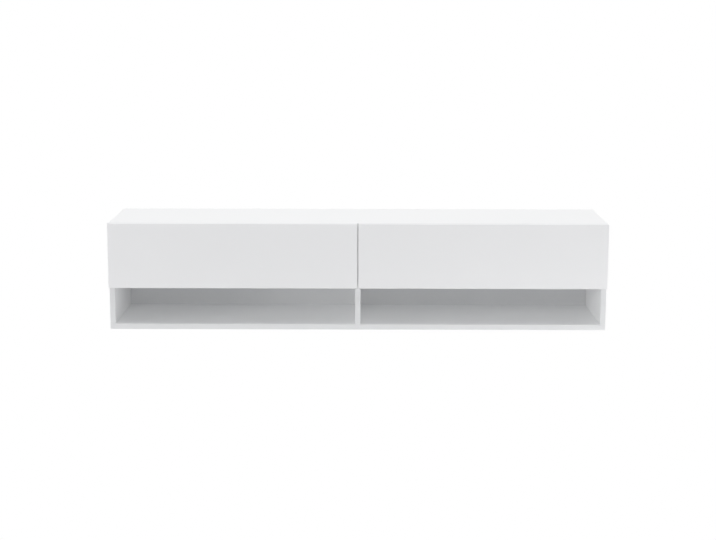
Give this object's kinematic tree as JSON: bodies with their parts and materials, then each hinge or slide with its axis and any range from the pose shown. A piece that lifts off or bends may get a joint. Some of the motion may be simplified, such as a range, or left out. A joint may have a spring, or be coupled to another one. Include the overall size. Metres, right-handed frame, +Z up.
{
  "type": "wall shelf with drawers",
  "caption": "White wall-hung shelf unit: handleless push-to-open drawers on ball-bearing slides, side by side above open niches split by a partition.",
  "frame": {"origin": "on the wall plane, at the middle of the centre partition's rear edge: half the width and half the height", "axes": "+X to the right seen from the front, +Y into the wall, +Z up"},
  "size_m": [1.4, 0.32, 0.304],
  "materials": {
    "lacquered_board": "white lacquered particle board, satin",
    "melamine_board": "white melamine-faced particle board, matt",
    "faced_hardboard": "white-faced thin hardboard, matt",
    "zinc_steel": "bright zinc plating on bent and turned steel",
    "retainer_steel": "bare steel strip with bearing balls, lightly greased",
    "white_nylon": "moulded white nylon",
    "grey_plastic": "moulded grey plastic"
  },
  "bodies": {
    "root": {"top_panel": "lacquered_board", "bottom_panel": "lacquered_board", "left_side_panel": "lacquered_board", "right_side_panel": "lacquered_board", "centre_partition": "lacquered_board", "left_drawer_shelf": "melamine_board", "right_drawer_shelf": "melamine_board", "left_back_panel": "faced_hardboard", "right_back_panel": "faced_hardboard", "left_front_screw": "zinc_steel", "left_rear_screw": "zinc_steel", "right_front_screw": "zinc_steel", "right_rear_screw": "zinc_steel", "partition_front_screw": "zinc_steel", "partition_rear_screw": "zinc_steel", "left_outer_slide_cabinet_member": "zinc_steel", "left_inner_slide_cabinet_member": "zinc_steel", "right_outer_slide_cabinet_member": "zinc_steel", "right_inner_slide_cabinet_member": "zinc_steel", "left_hanger_housing": "white_nylon", "left_hanger_hook": "zinc_steel", "left_hanger_lift_screw": "zinc_steel", "left_hanger_depth_screw": "zinc_steel", "left_wall_plate": "zinc_steel", "right_hanger_housing": "white_nylon", "right_hanger_hook": "zinc_steel", "right_hanger_lift_screw": "zinc_steel", "right_hanger_depth_screw": "zinc_steel", "right_wall_plate": "zinc_steel", "left_latch_housing": "white_nylon", "right_latch_housing": "white_nylon"},
    "left_drawer": {"left_drawer_front": "lacquered_board", "left_drawer_outer_side": "melamine_board", "left_drawer_inner_side": "melamine_board", "left_drawer_back": "melamine_board", "left_drawer_bottom": "faced_hardboard", "left_outer_slide_drawer_member": "zinc_steel", "left_inner_slide_drawer_member": "zinc_steel"},
    "left_middle_members": {"left_outer_slide_middle_member": "zinc_steel", "left_inner_slide_middle_member": "zinc_steel"},
    "left_outer_retainers": {"left_outer_slide_outer_retainer": "retainer_steel", "left_inner_slide_outer_retainer": "retainer_steel"},
    "left_inner_retainers": {"left_outer_slide_inner_retainer": "retainer_steel", "left_inner_slide_inner_retainer": "retainer_steel"},
    "left_plunger": {"left_latch_plunger": "grey_plastic"},
    "right_drawer": {"right_drawer_front": "lacquered_board", "right_drawer_outer_side": "melamine_board", "right_drawer_inner_side": "melamine_board", "right_drawer_back": "melamine_board", "right_drawer_bottom": "faced_hardboard", "right_outer_slide_drawer_member": "zinc_steel", "right_inner_slide_drawer_member": "zinc_steel"},
    "right_middle_members": {"right_outer_slide_middle_member": "zinc_steel", "right_inner_slide_middle_member": "zinc_steel"},
    "right_outer_retainers": {"right_outer_slide_outer_retainer": "retainer_steel", "right_inner_slide_outer_retainer": "retainer_steel"},
    "right_inner_retainers": {"right_outer_slide_inner_retainer": "retainer_steel", "right_inner_slide_inner_retainer": "retainer_steel"},
    "right_plunger": {"right_latch_plunger": "grey_plastic"}
  },
  "joints": [
    {"name": "left_drawer_slide", "type": "slide", "parent": "root", "child": "left_drawer", "axis": [0, -1, 0], "range_m": [0, 0.25]},
    {"name": "left_middle_members_slide", "type": "slide", "parent": "root", "child": "left_middle_members", "axis": [0, -1, 0], "range_m": [0, 0.125]},
    {"name": "left_outer_retainers_roll", "type": "slide", "parent": "root", "child": "left_outer_retainers", "axis": [0, -1, 0], "range_m": [0, 0.0625]},
    {"name": "left_inner_retainers_roll", "type": "slide", "parent": "root", "child": "left_inner_retainers", "axis": [0, -1, 0], "range_m": [0, 0.1875]},
    {"name": "left_latch_press", "type": "slide", "parent": "root", "child": "left_plunger", "axis": [0, -1, 0], "range_m": [-0.002, 0], "stiffness_N_per_m": 300, "springref_m": 0.003},
    {"name": "right_drawer_slide", "type": "slide", "parent": "root", "child": "right_drawer", "axis": [0, -1, 0], "range_m": [0, 0.25]},
    {"name": "right_middle_members_slide", "type": "slide", "parent": "root", "child": "right_middle_members", "axis": [0, -1, 0], "range_m": [0, 0.125]},
    {"name": "right_outer_retainers_roll", "type": "slide", "parent": "root", "child": "right_outer_retainers", "axis": [0, -1, 0], "range_m": [0, 0.0625]},
    {"name": "right_inner_retainers_roll", "type": "slide", "parent": "root", "child": "right_inner_retainers", "axis": [0, -1, 0], "range_m": [0, 0.1875]},
    {"name": "right_latch_press", "type": "slide", "parent": "root", "child": "right_plunger", "axis": [0, -1, 0], "range_m": [-0.002, 0], "stiffness_N_per_m": 300, "springref_m": 0.003}
  ],
  "couplings": [
    {"joint": "left_middle_members_slide", "follows": "left_drawer_slide", "ratio": 0.5},
    {"joint": "left_outer_retainers_roll", "follows": "left_drawer_slide", "ratio": 0.25},
    {"joint": "left_inner_retainers_roll", "follows": "left_drawer_slide", "ratio": 0.75},
    {"joint": "right_middle_members_slide", "follows": "right_drawer_slide", "ratio": 0.5},
    {"joint": "right_outer_retainers_roll", "follows": "right_drawer_slide", "ratio": 0.25},
    {"joint": "right_inner_retainers_roll", "follows": "right_drawer_slide", "ratio": 0.75}
  ]
}
